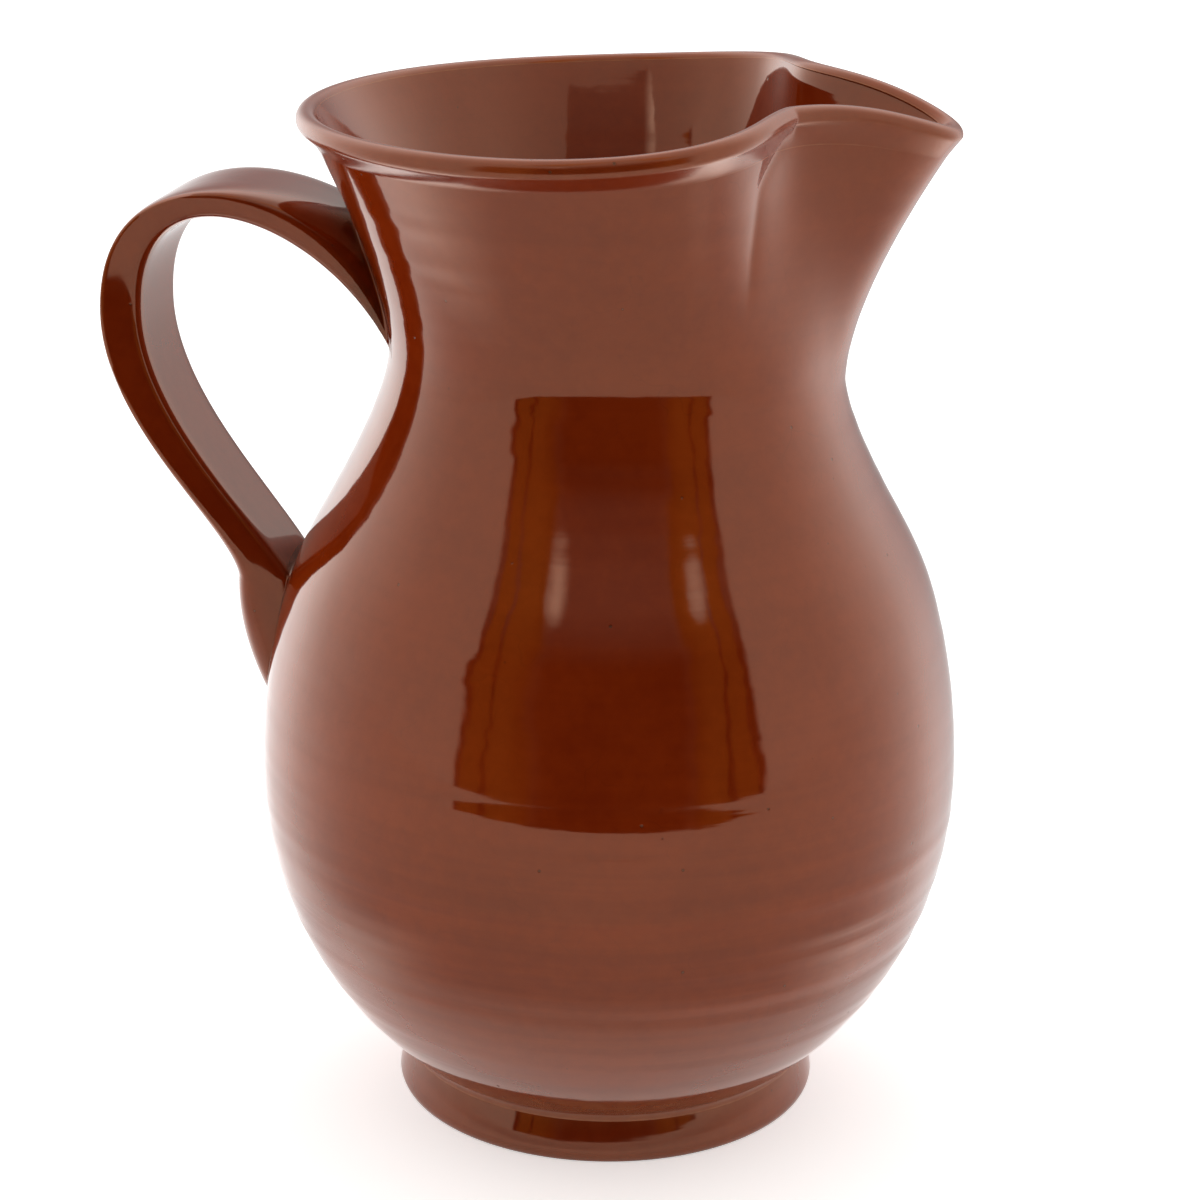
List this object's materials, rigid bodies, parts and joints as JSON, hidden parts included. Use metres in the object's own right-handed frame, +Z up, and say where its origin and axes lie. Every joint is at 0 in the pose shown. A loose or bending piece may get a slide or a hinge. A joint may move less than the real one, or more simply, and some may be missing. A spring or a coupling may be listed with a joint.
{
  "type": "jug",
  "caption": "Round-bellied earthenware jug with a flared mouth, a pinched pouring spout, an ear-shaped strap handle and a raised foot ring, in glossy brown glaze.",
  "frame": {"origin": "centre of the foot's resting plane, on the axis the body was thrown on", "axes": "+Z up along the axis, +X towards the spout, -X towards the handle, +Y to the left of someone looking along +X"},
  "size_m": [0.1756, 0.145, 0.2154],
  "materials": {
    "glazed_clay": "glossy transparent brown glaze over red clay",
    "luting_slip": "fired slip under the same glaze"
  },
  "bodies": {
    "root": {"belly": "glazed_clay", "foot_ring": "glazed_clay", "foot_slip": "luting_slip", "shoulder_slip": "luting_slip", "neck": "glazed_clay", "lip": "glazed_clay", "handle_strap": "glazed_clay", "handle_top_slip": "luting_slip", "handle_tail_slip": "luting_slip"}
  },
  "joints": []
}
